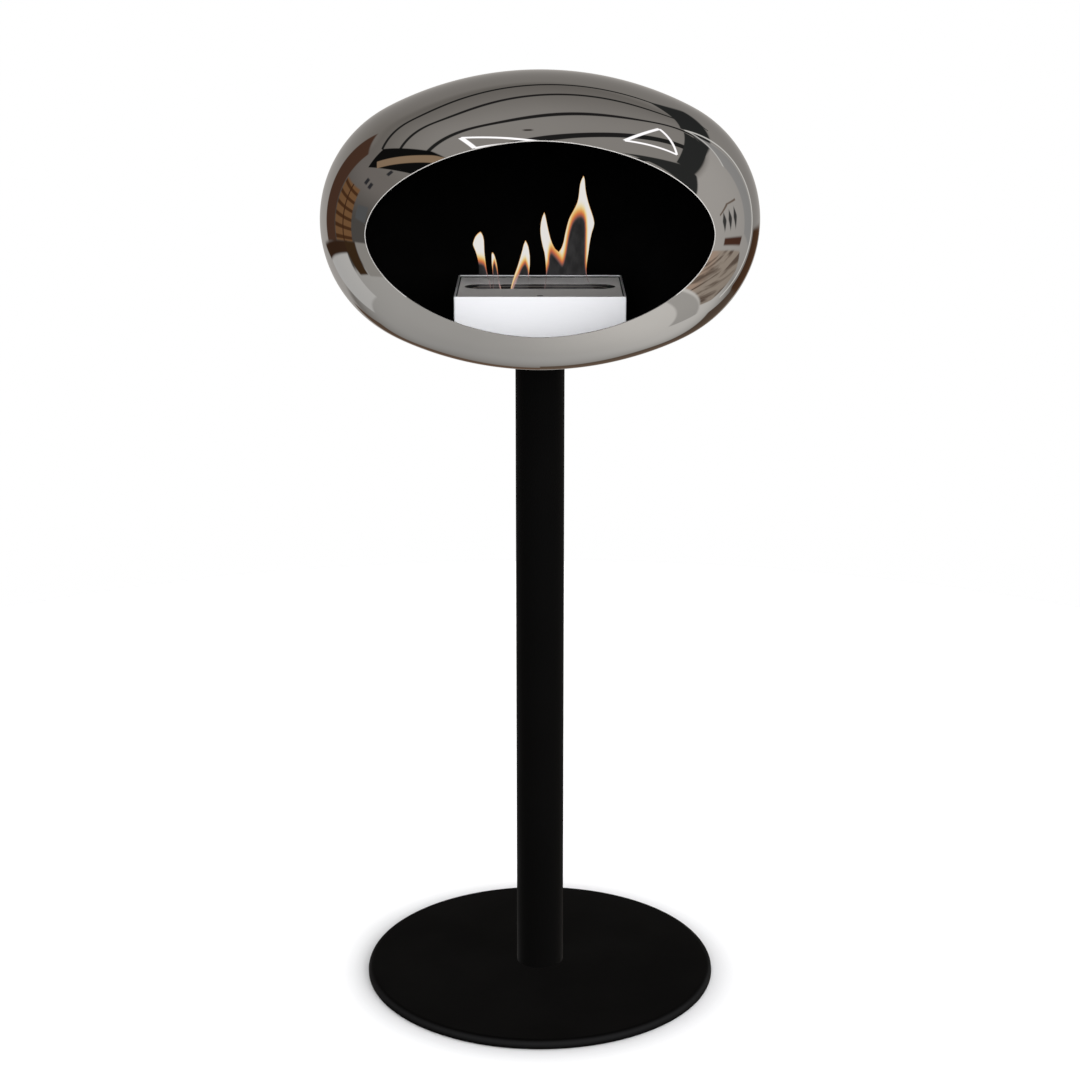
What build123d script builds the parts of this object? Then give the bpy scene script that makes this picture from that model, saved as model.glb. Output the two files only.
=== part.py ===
from build123d import *
from math import asin, atan2, copysign, cos, degrees, pi, radians, sin
import os

# A bioethanol fireplace: a flattened dome on a pole and a round base, with a burner inside.
# Millimetres. The origin is on the floor under the pole, +Z is up and the opening faces -Y.

# Base
underlay_diameter = 430.0
underlay_thickness = 2.0
base_diameter = 450.0
base_thickness = 10.0
base_edge_radius = 8.0

# Pole and its two welded-in plugs
pole_diameter = 60.0
pole_wall = 3.0
pole_length = 793.0
plug_length = 25.0
plug_gap = 0.05

# Screws at both ends of the pole
pole_screw_count = 3
pole_screw_radius = 4.0
pole_screw_bite = 16.0
flat_head_radius = 7.5
button_head_radius = 7.0
button_head_height = 4.4
pole_screw_edge = 3.0
washer_radius = 8.0
washer_thickness = 1.6
screw_hole_gap = 0.5
thread_gap = 0.05
drill_point = 2.0
socket_radius = 2.9
socket_depth = 2.5

# Dome: two halves with shallow crowns and tight knuckles, and an oval mouth in front
dome_width = 524.0
dome_height = 350.0
dome_wall = 2.0
knuckle_radius = 147.7
mouth_width = 391.0
mouth_height = 214.5
mouth_rise = 4.7
mouth_exponent = 1.85
mouth_points = 32

# Saddle ring under the dome and clamp disc inside it, with a spigot that centres both on the pole
saddle_thickness = 1.5
saddle_inset = 1.0
saddle_width = 8.0
clamp_diameter = 104.0
clamp_thickness = 7.0
spigot_radius = 8.0
spigot_depth = 5.0
spigot_gap = 0.05
paint_gap = 0.1

# Pillars and tray that level the burner
pillar_count = 4
pillar_across_flats = 12.0
pillar_length = 22.5
pillar_edge = 5.0
pillar_stud_radius = 3.0
pillar_stud_end_gap = 3.0
tray_screw_radius = 2.5
tray_head_radius = 5.0
tray_screw_length = 12.0
tray_thickness = 3.0
tray_lip = 2.0
tray_lip_height = 8.0
tray_gap = 1.0

# Burner housing
housing_width = 202.0
housing_depth = 166.0
housing_height = 61.0
housing_wall = 2.0
housing_corner = 2.0
housing_inner_corner = 1.0
sheet_edge_radius = 0.5

# Fuel tank and what is in it
tank_wall = 1.5
tank_corner = 3.0
wool_height = 36.0
wool_gap = 0.5
mesh_thickness = 1.0
mesh_pitch = 14.0
mesh_hole = 10.0
mesh_border = 6.0

# Lid of the tank with its long slot
lid_thickness = 2.0
lid_recess = 2.0
lid_side_gap = 1.5
lid_end_gap = 5.5
lid_overhang = 1.0
lid_corner = 1.5
hook_hole_radius = 4.0
hook_hole_inset = 12.5

# Damper under the lid and the two rails that carry it
rail_gap = 1.5
rail_front_gap = 11.7
rail_rear_gap = 6.7
rail_sheet = 1.5
rail_foot = 7.5
damper_thickness = 1.5
damper_gap = 0.5
damper_overlap = 2.0
damper_front_land = 10.0
damper_cover = 0.5
window_land = 3.0
stop_gap = 0.3

# Heights from the floor up
base_top = underlay_thickness + base_thickness
pole_top = base_top + pole_length
dome_bottom = pole_top + saddle_thickness
dome_centre = dome_bottom + dome_height / 2
clamp_top = dome_bottom + dome_wall + clamp_thickness
tray_bottom = clamp_top + pillar_length
housing_bottom = tray_bottom + tray_thickness
tank_bottom = housing_bottom + housing_wall
rim_height = housing_bottom + housing_height
lid_top = rim_height - lid_recess
tank_top = lid_top - lid_thickness
wool_bottom = tank_bottom + tank_wall
mesh_bottom = wool_bottom + wool_height
damper_top = tank_top - damper_gap
damper_bottom = damper_top - damper_thickness
rail_bottom = damper_bottom - damper_gap - rail_sheet

# The dome's profile: crown arcs centred on the axis run tangent into the knuckle arcs
knuckle_centre = dome_width / 2 - knuckle_radius
crown_radius = (knuckle_centre**2 + (dome_height / 2) ** 2 - knuckle_radius**2) / (
    dome_height - 2 * knuckle_radius
)
crown_drop = crown_radius - dome_height / 2
tangent_angle = degrees(atan2(crown_drop, knuckle_centre))

# Plan sizes of the burner, from the housing inwards
lid_width = housing_width - 2 * (housing_wall + lid_side_gap)
lid_depth = housing_depth - 2 * (housing_wall + lid_end_gap)
tank_width = lid_width - 2 * lid_overhang
tank_depth = lid_depth - 2 * lid_overhang
wool_width = tank_width - 2 * (tank_wall + wool_gap)
wool_depth = tank_depth - 2 * (tank_wall + wool_gap)
rail_outer = tank_width / 2 - tank_wall - rail_gap
rail_inner = rail_outer - rail_foot
damper_half_width = rail_outer - rail_sheet - damper_gap
slot_length = 2 * (damper_half_width - damper_cover)
window_length = 2 * (rail_inner - window_land)

# The damper's two places and its travel share the rails' length, which gives the slot its depth
rail_front = rail_front_gap + tank_wall - tank_depth / 2
rail_rear = tank_depth / 2 - tank_wall - rail_rear_gap
rail_stop = rail_sheet + stop_gap
damper_room = rail_rear - rail_front - 2 * rail_stop
slot_depth = (damper_room - damper_front_land - 3 * damper_overlap) / 3
damper_travel = slot_depth + damper_overlap
damper_front = rail_front + rail_stop + damper_travel
damper_rear = rail_rear - rail_stop
slot_offset = damper_front + damper_front_land + slot_depth / 2

# Radii and places of the screws
plug_radius = pole_diameter / 2 - pole_wall - plug_gap
pole_screw_place = plug_radius - washer_radius - pole_screw_edge
pole_screw_hole = pole_screw_radius + screw_hole_gap
pillar_radius = pillar_across_flats / 2 / cos(pi / 6)
pillar_place = clamp_diameter / 2 - pillar_radius - pillar_edge
pillar_stud_length = clamp_thickness - pillar_stud_end_gap
tray_screw_hole = tray_screw_radius + screw_hole_gap

UP = (Align.CENTER, Align.CENTER, Align.MIN)
DOWN = (Align.CENTER, Align.CENTER, Align.MAX)
DOME_PLANE = Plane(origin=(0, 0, dome_centre), x_dir=(1, 0, 0), z_dir=(0, -1, 0))

os.makedirs("parts", exist_ok=True)


def draw_half_outline(side, inset):
    """Draw half the dome's outline from its widest line to its axis, inset evenly."""
    turn = side * tangent_angle
    CenterArc((knuckle_centre, 0), knuckle_radius - inset, 0, turn)
    CenterArc((0, -side * crown_drop), crown_radius - inset, turn, side * 90 - turn)


def draw_lower_crown(radius, inset):
    """Draw the dome's lower crown, inset by a distance, from the axis out to a radius."""
    sphere = crown_radius - inset
    return CenterArc((0, dome_centre + crown_drop), sphere, -90, degrees(asin(radius / sphere)))


def mouth_point(turn):
    """Point of the mouth's outline, a superellipse, at a share of a full turn."""
    across, upward = cos(2 * pi * turn), sin(2 * pi * turn)
    power = 2 / mouth_exponent
    x = mouth_width / 2 * copysign(abs(across) ** power, across)
    z = mouth_height / 2 * copysign(abs(upward) ** power, upward)
    return (x, mouth_rise + z)


def spin_dome_half(side):
    """Spin the dome's lower (-1) or upper (1) half and cut the mouth straight through it."""
    with BuildPart() as half:
        with BuildSketch(DOME_PLANE):
            with BuildLine():
                draw_half_outline(side, 0)
                draw_half_outline(side, dome_wall)
                Line((dome_width / 2, 0), (dome_width / 2 - dome_wall, 0))
                Line((0, side * dome_height / 2), (0, side * (dome_height / 2 - dome_wall)))
            make_face()
        revolve(axis=Axis.Z)
        with BuildSketch(DOME_PLANE):
            with BuildLine():
                Spline([mouth_point(i / mouth_points) for i in range(mouth_points)], periodic=True)
            make_face()
        extrude(amount=dome_width, mode=Mode.SUBTRACT)
    return half.part


def ring(radius, count, start, height=0.0):
    """Places spaced evenly on a circle at a height, from a start angle in degrees."""
    turns = [radians(start + 360 * i / count) for i in range(count)]
    return Locations(*[(radius * cos(turn), radius * sin(turn), height) for turn in turns])


def pole_screw_places(height=0.0):
    """Places of the screws at either end of the pole, the first behind the axis."""
    return ring(pole_screw_place, pole_screw_count, 90, height)


def pillar_places(height=0.0):
    """Places of the pillars and the tray's screws, one in each quarter."""
    return ring(pillar_place, pillar_count, 45, height)


# Underlay, a rubber disc glued under the base
with BuildPart() as base_underlay:
    Cylinder(underlay_diameter / 2, underlay_thickness, align=UP)
base_underlay.part.label = "base_underlay"
export_step(base_underlay.part, "parts/base_underlay.step")

# Base plate, with a rounded upper edge and countersunk holes from below
flat_head_height = flat_head_radius - pole_screw_radius
with BuildPart() as base_plate:
    with Locations((0, 0, underlay_thickness)):
        Cylinder(base_diameter / 2, base_thickness, align=UP)
    fillet(base_plate.edges().group_by(Axis.Z)[-1], base_edge_radius)
    with pole_screw_places(underlay_thickness):
        Hole(pole_screw_hole)
        Cone(
            flat_head_radius + screw_hole_gap,
            pole_screw_hole,
            flat_head_height,
            align=UP,
            mode=Mode.SUBTRACT,
        )
base_plate.part.label = "base_plate"
export_step(base_plate.part, "parts/base_plate.step")

# Countersunk screws up through the base plate into the lower plug
with BuildPart() as base_screws:
    with pole_screw_places(underlay_thickness):
        Cylinder(pole_screw_radius, base_thickness + pole_screw_bite, align=UP)
        Cone(flat_head_radius, pole_screw_radius, flat_head_height, align=UP)
    with BuildSketch(Plane.XY.offset(underlay_thickness)):
        with pole_screw_places():
            RegularPolygon(socket_radius, 6)
    extrude(amount=socket_depth, mode=Mode.SUBTRACT)
base_screws.part.label = "base_screws"
export_step(base_screws.part, "parts/base_screws.step")

# Lower plug of the pole, tapped from below
tapped_radius = pole_screw_radius + thread_gap
tapped_depth = pole_screw_bite + drill_point
with BuildPart() as pole_bottom_plug:
    with Locations((0, 0, base_top)):
        Cylinder(plug_radius, plug_length, align=UP)
    with pole_screw_places(base_top):
        Cylinder(tapped_radius, tapped_depth, align=UP, mode=Mode.SUBTRACT)
pole_bottom_plug.part.label = "pole_bottom_plug"
export_step(pole_bottom_plug.part, "parts/pole_bottom_plug.step")

# Pole
with BuildPart() as pole_tube:
    with BuildSketch(Plane.XY.offset(base_top)):
        Circle(pole_diameter / 2)
        Circle(pole_diameter / 2 - pole_wall, mode=Mode.SUBTRACT)
    extrude(amount=pole_length)
pole_tube.part.label = "pole_tube"
export_step(pole_tube.part, "parts/pole_tube.step")

# Upper plug of the pole, tapped from above
with BuildPart() as pole_top_plug:
    with Locations((0, 0, pole_top)):
        Cylinder(plug_radius, plug_length, align=DOWN)
        Cylinder(spigot_radius + spigot_gap, spigot_depth, align=DOWN, mode=Mode.SUBTRACT)
    with pole_screw_places(pole_top):
        Cylinder(tapped_radius, tapped_depth, align=DOWN, mode=Mode.SUBTRACT)
pole_top_plug.part.label = "pole_top_plug"
export_step(pole_top_plug.part, "parts/pole_top_plug.step")

# Saddle ring between the pole and the dome, flat below and hollowed to the dome's crown above
saddle_radius = pole_diameter / 2 - saddle_inset
with BuildPart() as dome_saddle:
    with BuildSketch(Plane.XZ):
        with BuildLine():
            hollow = draw_lower_crown(saddle_radius, -paint_gap)
            Polyline(hollow @ 1, (saddle_radius, pole_top), (0, pole_top), hollow @ 0)
        make_face()
    revolve(axis=Axis.Z)
    with Locations((0, 0, pole_top)):
        Hole(saddle_radius - saddle_width)
dome_saddle.part.label = "dome_saddle"
export_step(dome_saddle.part, "parts/dome_saddle.step")

# Lower half of the dome, spun from sheet, with the holes for the spigot and the screws
with BuildPart() as dome_lower_half:
    add(spin_dome_half(-1))
    with BuildSketch(Plane.XY.offset(dome_bottom - dome_wall)):
        Circle(spigot_radius + paint_gap)
        with pole_screw_places():
            Circle(pole_screw_hole)
    extrude(amount=3 * dome_wall, mode=Mode.SUBTRACT)
dome_lower_half.part.label = "dome_lower_half"
export_step(dome_lower_half.part, "parts/dome_lower_half.step")

# Upper half of the dome, welded to the lower one at the widest line
with BuildPart() as dome_upper_half:
    add(spin_dome_half(1))
dome_upper_half.part.label = "dome_upper_half"
export_step(dome_upper_half.part, "parts/dome_upper_half.step")

# Clamp disc in the dome's bottom, rounded below to the crown, flat on top and with its spigot
clamp_radius = clamp_diameter / 2
with BuildPart() as clamp_disc:
    with BuildSketch(Plane.XZ):
        with BuildLine():
            belly = draw_lower_crown(clamp_radius, dome_wall + paint_gap)
            Polyline(belly @ 1, (clamp_radius, clamp_top), (0, clamp_top), belly @ 0)
        make_face()
    revolve(axis=Axis.Z)
    with Locations((0, 0, clamp_top)):
        Cylinder(spigot_radius, clamp_top - pole_top + spigot_depth, align=DOWN)
    with pole_screw_places(clamp_top):
        Hole(pole_screw_hole)
    with pillar_places(clamp_top):
        Hole(pillar_stud_radius + thread_gap)
clamp_disc.part.label = "clamp_disc"
export_step(clamp_disc.part, "parts/clamp_disc.step")

# Washers on the clamp disc
with BuildPart() as dome_washers:
    with pole_screw_places(clamp_top):
        Cylinder(washer_radius, washer_thickness, align=UP)
        Cylinder(pole_screw_hole, washer_thickness, align=UP, mode=Mode.SUBTRACT)
dome_washers.part.label = "dome_washers"
export_step(dome_washers.part, "parts/dome_washers.step")

# Screws down through the clamp disc, the dome and the saddle into the upper plug
dome_screw_seat = clamp_top + washer_thickness
dome_screw_length = dome_screw_seat - pole_top + pole_screw_bite
with BuildPart() as dome_screws:
    with pole_screw_places(dome_screw_seat):
        Cylinder(pole_screw_radius, dome_screw_length, align=DOWN)
        Cylinder(button_head_radius, button_head_height, align=UP)
    with BuildSketch(Plane.XY.offset(dome_screw_seat + button_head_height)):
        with pole_screw_places():
            RegularPolygon(socket_radius, 6)
    extrude(amount=-socket_depth, mode=Mode.SUBTRACT)
dome_screws.part.label = "dome_screws"
export_step(dome_screws.part, "parts/dome_screws.step")

# Hexagonal pillars, screwed into the clamp disc by a stud and tapped on top
with BuildPart() as tray_pillars:
    with BuildSketch(Plane.XY.offset(clamp_top)):
        with pillar_places():
            RegularPolygon(pillar_radius, 6)
    extrude(amount=pillar_length)
    with pillar_places(clamp_top):
        Cylinder(pillar_stud_radius, pillar_stud_length, align=DOWN)
    with pillar_places(tray_bottom):
        Cylinder(
            tray_screw_radius + thread_gap,
            tray_screw_length,
            align=DOWN,
            mode=Mode.SUBTRACT,
        )
tray_pillars.part.label = "tray_pillars"
export_step(tray_pillars.part, "parts/tray_pillars.step")

# Tray that the burner stands in, with a low lip all round
tray_width = housing_width + 2 * (tray_gap + tray_lip)
tray_depth = housing_depth + 2 * (tray_gap + tray_lip)
tray_head_height = tray_head_radius - tray_screw_radius
with BuildPart() as burner_tray:
    with BuildSketch(Plane.XY.offset(tray_bottom)):
        RectangleRounded(tray_width, tray_depth, housing_corner + tray_gap + tray_lip)
    extrude(amount=tray_thickness + tray_lip_height)
    with BuildSketch(Plane.XY.offset(housing_bottom)):
        RectangleRounded(
            tray_width - 2 * tray_lip, tray_depth - 2 * tray_lip, housing_corner + tray_gap
        )
    extrude(amount=tray_lip_height, mode=Mode.SUBTRACT)
    with pillar_places(housing_bottom):
        Hole(tray_screw_hole)
        Cone(
            tray_screw_hole,
            tray_head_radius + screw_hole_gap,
            tray_head_height,
            align=DOWN,
            mode=Mode.SUBTRACT,
        )
burner_tray.part.label = "burner_tray"
export_step(burner_tray.part, "parts/burner_tray.step")

# Countersunk screws through the tray into the pillars
with BuildPart() as tray_screws:
    with pillar_places(housing_bottom):
        Cylinder(tray_screw_radius, tray_screw_length, align=DOWN)
        Cone(tray_screw_radius, tray_head_radius, tray_head_height, align=DOWN)
tray_screws.part.label = "tray_screws"
export_step(tray_screws.part, "parts/tray_screws.step")

# Housing, an open box of polished sheet
housing_inner_width = housing_width - 2 * housing_wall
housing_inner_depth = housing_depth - 2 * housing_wall
with BuildPart() as burner_housing:
    with BuildSketch(Plane.XY.offset(housing_bottom)):
        RectangleRounded(housing_width, housing_depth, housing_corner)
    extrude(amount=housing_height)
    with BuildSketch(Plane.XY.offset(tank_bottom)):
        RectangleRounded(housing_inner_width, housing_inner_depth, housing_inner_corner)
    extrude(amount=housing_height, mode=Mode.SUBTRACT)
    fillet(burner_housing.faces().sort_by(Axis.Z)[-1].edges(), sheet_edge_radius)
burner_housing.part.label = "burner_housing"
export_step(burner_housing.part, "parts/burner_housing.step")

# Fuel tank, an open box that lifts out of the housing
with BuildPart() as fuel_tank:
    with BuildSketch(Plane.XY.offset(tank_bottom)):
        RectangleRounded(tank_width, tank_depth, tank_corner)
    extrude(amount=tank_top - tank_bottom)
    with BuildSketch(Plane.XY.offset(wool_bottom)):
        RectangleRounded(
            tank_width - 2 * tank_wall, tank_depth - 2 * tank_wall, tank_corner - tank_wall
        )
    extrude(amount=tank_top - wool_bottom, mode=Mode.SUBTRACT)
fuel_tank.part.label = "fuel_tank"
export_step(fuel_tank.part, "parts/fuel_tank.step")

# Ceramic wool that soaks up the fuel
with BuildPart() as ceramic_wool:
    with BuildSketch(Plane.XY.offset(wool_bottom)):
        RectangleRounded(wool_width, wool_depth, tank_corner - tank_wall)
    extrude(amount=wool_height)
ceramic_wool.part.label = "ceramic_wool"
export_step(ceramic_wool.part, "parts/ceramic_wool.step")

# Perforated sheet that holds the wool down
mesh_across = int((wool_width - 2 * mesh_border - mesh_hole) // mesh_pitch) + 1
mesh_deep = int((wool_depth - 2 * mesh_border - mesh_hole) // mesh_pitch) + 1
with BuildPart() as wool_mesh:
    with BuildSketch(Plane.XY.offset(mesh_bottom)):
        RectangleRounded(wool_width, wool_depth, tank_corner - tank_wall)
        with GridLocations(mesh_pitch, mesh_pitch, mesh_across, mesh_deep):
            Rectangle(mesh_hole, mesh_hole, mode=Mode.SUBTRACT)
    extrude(amount=mesh_thickness)
wool_mesh.part.label = "wool_mesh"
export_step(wool_mesh.part, "parts/wool_mesh.step")

# Lid of the tank, with the flame slot and a hole to lift it by
with BuildPart() as top_plate:
    with BuildSketch(Plane.XY.offset(tank_top)):
        RectangleRounded(lid_width, lid_depth, lid_corner)
        with Locations((0, slot_offset)):
            SlotOverall(slot_length, slot_depth, mode=Mode.SUBTRACT)
        with Locations((0, hook_hole_inset - lid_depth / 2)):
            Circle(hook_hole_radius, mode=Mode.SUBTRACT)
    extrude(amount=lid_thickness)
    fillet(top_plate.faces().sort_by(Axis.Z)[-1].edges(), sheet_edge_radius)
top_plate.part.label = "top_plate"
export_step(top_plate.part, "parts/top_plate.step")

# Rails under the lid: a web, a foot that carries the damper, and a folded stop at each end
for side, name in ((-1, "left_rail"), (1, "right_rail")):
    with BuildPart() as rail:
        with BuildSketch(Plane.XZ.offset(-rail_rear)):
            with Locations((side * (rail_inner + rail_outer) / 2, rail_bottom)):
                Rectangle(rail_foot, tank_top - rail_bottom, align=(Align.CENTER, Align.MIN))
        extrude(amount=rail_rear - rail_front)
        with BuildSketch(Plane.XZ.offset(-rail_rear + rail_sheet)):
            with Locations((side * (rail_outer - rail_sheet), rail_bottom + rail_sheet)):
                Rectangle(
                    rail_foot - rail_sheet,
                    tank_top - rail_bottom - rail_sheet,
                    align=(Align.MAX if side > 0 else Align.MIN, Align.MIN),
                )
        extrude(amount=rail_rear - rail_front - 2 * rail_sheet, mode=Mode.SUBTRACT)
    rail.part.label = name
    export_step(rail.part, f"parts/{name}.step")

# Damper, a sliding plate whose window stands under the slot when the fire burns
with BuildPart() as damper_plate:
    with BuildSketch(Plane.XY.offset(damper_bottom)):
        with Locations((0, (damper_front + damper_rear) / 2)):
            Rectangle(2 * damper_half_width, damper_rear - damper_front)
        with Locations((0, slot_offset)):
            SlotOverall(window_length, slot_depth, mode=Mode.SUBTRACT)
        with Locations((0, slot_offset + damper_travel)):
            Circle(hook_hole_radius, mode=Mode.SUBTRACT)
    extrude(amount=damper_thickness)
damper_plate.part.label = "damper_plate"
export_step(damper_plate.part, "parts/damper_plate.step")
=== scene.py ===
from math import radians

import bpy
import numpy as np
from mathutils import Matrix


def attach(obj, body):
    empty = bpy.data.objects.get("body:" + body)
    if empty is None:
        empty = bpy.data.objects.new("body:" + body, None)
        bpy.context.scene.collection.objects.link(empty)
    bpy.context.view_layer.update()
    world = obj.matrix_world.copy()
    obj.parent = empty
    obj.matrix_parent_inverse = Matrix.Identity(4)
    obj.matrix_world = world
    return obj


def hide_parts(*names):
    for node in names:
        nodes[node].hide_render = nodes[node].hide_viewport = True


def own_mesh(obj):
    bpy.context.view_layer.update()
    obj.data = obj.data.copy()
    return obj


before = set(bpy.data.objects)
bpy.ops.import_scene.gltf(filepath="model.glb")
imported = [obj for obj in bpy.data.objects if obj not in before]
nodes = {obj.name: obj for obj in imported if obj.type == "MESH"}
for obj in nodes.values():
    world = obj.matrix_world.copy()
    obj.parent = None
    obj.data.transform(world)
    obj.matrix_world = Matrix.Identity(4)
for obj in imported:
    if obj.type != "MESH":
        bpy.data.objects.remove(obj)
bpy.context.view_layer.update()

# UNDERLAY
# A disc of black rubber under the base plate, cut from sheet and glued on. It keeps the steel off
# the floor, stops the stand from sliding and hides the heads of the base screws.


class Wire:
    """One value of a finish. Sums and products of wires and numbers become Math nodes."""

    def __init__(self, finish, socket):
        self.finish = finish
        self.socket = socket

    def math(self, operation, *values):
        return self.finish.node(
            "ShaderNodeMath", {"operation": operation}, dict(enumerate(values))
        )

    def __add__(self, other):
        return self.math("ADD", self, other)

    def __sub__(self, other):
        return self.math("SUBTRACT", self, other)

    def __rsub__(self, other):
        return self.math("SUBTRACT", other, self)

    def __mul__(self, other):
        return self.math("MULTIPLY", self, other)

    def __truediv__(self, other):
        return self.math("DIVIDE", self, other)

    def __gt__(self, other):
        return self.math("GREATER_THAN", self, other)

    def __lt__(self, other):
        return self.math("LESS_THAN", self, other)

    def __abs__(self):
        return self.math("ABSOLUTE", self)

    __radd__ = __add__
    __rmul__ = __mul__


class Finish:
    """A material, or the studio's light, that is put together from nodes."""

    def __init__(self, name, tree=None):
        if tree is None:
            self.material = bpy.data.materials.new(name)
            self.material.use_nodes = True
            tree = self.material.node_tree
        self.tree = tree
        tree.nodes.clear()

    def node(self, kind, settings=None, sockets=None, output=0):
        """Add any node: first its settings, then the value or the wire of each socket."""
        node = self.tree.nodes.new(kind)
        for setting, value in (settings or {}).items():
            if setting == "stops":
                first, *middle, last = value
                node.color_ramp.elements[0].position = first[0]
                node.color_ramp.elements[0].color = (*first[1], 1)
                node.color_ramp.elements[1].position = last[0]
                node.color_ramp.elements[1].color = (*last[1], 1)
                for position, color in middle:
                    node.color_ramp.elements.new(position).color = (*color, 1)
            else:
                setattr(node, setting, value)
        for name, value in (sockets or {}).items():
            socket = node.inputs[name]
            if isinstance(value, Wire):
                self.tree.links.new(value.socket, socket)
            elif socket.type == "RGBA":
                socket.default_value = (*value, 1)
            else:
                socket.default_value = value
        return Wire(self, node.outputs[output]) if len(node.outputs) else node

    def place(self, stretch=(1, 1, 1)):
        """The place on the object in metres, with each axis times its stretch."""
        place = self.node("ShaderNodeTexCoord", output="Object")
        return self.node("ShaderNodeVectorMath", {"operation": "MULTIPLY"}, {0: place, 1: stretch})

    def split(self, vector):
        """The three parts of a vector."""
        parts = self.node("ShaderNodeSeparateXYZ", None, {0: vector}).socket.node.outputs
        return [Wire(self, part) for part in parts]

    def radius(self):
        """The distance from the pole's axis."""
        level = self.place((1, 1, 0))
        return self.node("ShaderNodeVectorMath", {"operation": "LENGTH"}, {0: level}, "Value")

    def noise(self, scale, detail=2.0, stretch=(1, 1, 1)):
        """Smooth noise from 0 to 1, with scale lumps to the metre, times the stretch of an axis."""
        place = self.place(stretch)
        return self.node(
            "ShaderNodeTexNoise", None, {"Vector": place, "Scale": scale, "Detail": detail}
        )

    def ease(self, value, low, high):
        """Rise smoothly from 0 where the value is low to 1 where it is high."""
        return self.node(
            "ShaderNodeMapRange",
            {"interpolation_type": "SMOOTHSTEP"},
            {"Value": value, "From Min": low, "From Max": high},
        )

    def blend(self, share, color, other):
        """Mix two colours by a share from 0 to 1."""
        return self.node(
            "ShaderNodeMix", {"data_type": "RGBA"}, {0: share, 6: color, 7: other}, output=2
        )

    def relief(self, height, depth):
        """Raise the surface by a height from 0 to 1, times a depth in metres."""
        sockets = {"Height": height, "Distance": depth, "Strength": 1.0}
        return self.node("ShaderNodeBump", None, sockets)

    def coat(self, **sockets):
        """Close the finish with one surface shader. A socket is named in small letters."""
        named = {
            name.replace("_", " ").title().replace("Ior", "IOR"): value
            for name, value in sockets.items()
        }
        shader = self.node("ShaderNodeBsdfPrincipled", None, named)
        self.node("ShaderNodeOutputMaterial", None, {"Surface": shader})
        return self.material


def dress(material, *names):
    """Give nodes of the frame a finish in place of their plain one."""
    for name in names:
        nodes[name].data.materials.clear()
        nodes[name].data.materials.append(material)


rubber = Finish("rubber")
rubber_dust = rubber.noise(60, 4)
dress(
    rubber.coat(
        base_color=rubber.blend(rubber_dust, (0.014, 0.014, 0.014), (0.03, 0.029, 0.027)),
        roughness=0.75 + 0.2 * rubber_dust,
        specular_ior_level=0.25,
        normal=rubber.relief(rubber.noise(2600, 3), 0.00012),
    ),
    "base_underlay",
)

# BASE PLATE AND POLE
# A round steel plate with a rolled upper edge and a steel tube, both blasted and powder coated
# satin black. The baked powder leaves a fine orange-peel texture and hardly any gloss.
rolled_edge_radius = (0.2195, 0.2235)
rolled_edge_height = (0.003, 0.009)


def powder_coat(name, color, gloss):
    """Powder coat: peel of two sizes, a slightly uneven gloss and a hint of settled dust. On the
    base plate's rolled upper edge it is coloured lighter grey, a painted highlight."""
    coat = Finish(name)
    height = coat.split(coat.place())[2]
    # Painted highlight: the upper part of the base plate's rolled edge is coloured lighter grey.
    painted_edge_highlight = coat.ease(coat.radius(), *rolled_edge_radius) * coat.ease(height, *rolled_edge_height)
    peel = coat.noise(700, 2) * 0.7 + coat.noise(2400, 1) * 0.3
    patches = coat.ease(coat.noise(9, 3), 0.3, 0.75)
    shade = coat.blend(patches, color, tuple(1.4 * c for c in color))
    return coat.coat(
        base_color=coat.blend(painted_edge_highlight, shade, (0.009, 0.009, 0.0092)),
        roughness=gloss + 0.12 * patches + 0.1 * peel,
        specular_ior_level=0.02,
        normal=coat.relief(peel, 0.00006),
    )


dress(powder_coat("black_powder_coat", (0.0011, 0.00105, 0.001), 0.5), "base_plate", "pole_tube")

# SCREWS, WASHERS, PLUGS, CLAMP DISC AND PILLARS
# Turned and headed steel parts, zinc plated. They join the base, the pole, the dome and the tray,
# and the clamp disc inside the dome spreads their pull over the thin shell.
zinc = Finish("zinc_plated_steel")
zinc_spangle = zinc.noise(420, 3)
zinc_turning = zinc.noise(90, 2, (1, 1, 30))
zinc_shade = zinc.blend(zinc_spangle, (0.42, 0.43, 0.44), (0.62, 0.62, 0.6))
zinc_dulled = zinc.ease(zinc.noise(35, 4), 0.55, 0.8)
dress(
    zinc.coat(
        base_color=zinc.blend(zinc_dulled, zinc_shade, (0.3, 0.28, 0.22)),
        metallic=1.0,
        roughness=0.3 + 0.2 * zinc_spangle,
        normal=zinc.relief(zinc_turning, 0.00003),
    ),
    "base_screws", "pole_bottom_plug", "pole_top_plug", "clamp_disc",
    "dome_washers", "dome_screws", "tray_pillars", "tray_screws",
)

# SADDLE
# A thin black ring between the pole and the dome, flat below and hollowed to the crown above.
# It seats the curved shell on the flat end of the pole and shows as a fine dark joint.
dress(powder_coat("black_saddle", (0.004, 0.004, 0.004), 0.55), "dome_saddle")

# DOME
# Two halves spun from 2 mm stainless sheet, welded along the widest line and ground flush. The
# outside is coated dark nickel and polished to a mirror, the cut edge of the mouth is left bright
# steel, and the inside is sprayed with matt black stove paint.
dome_width = 0.524
dome_height = 0.350
dome_wall = 0.002
dome_centre = 0.9815
tangent = radians(63.13)
tangent_ease = radians(5.0)
mouth_width = 0.391
mouth_height = 0.2145
mouth_rise = 0.0047
mouth_exponent = 1.85
mirror_side, cut_edge, painted_side = range(3)
# The outer face's first row takes this share of the way to the back. It is finished as the cut
# edge is, except where the mouth's outline lies lower than this over the dome's middle.
edge_row_share = 0.0022
edge_row_low = -0.06


def smooth_step(share):
    """Smooth step: three times the square less twice the cube of a share held in 0 to 1."""
    share = np.clip(share, 0, 1)
    return share * share * (3 - 2 * share)


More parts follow.
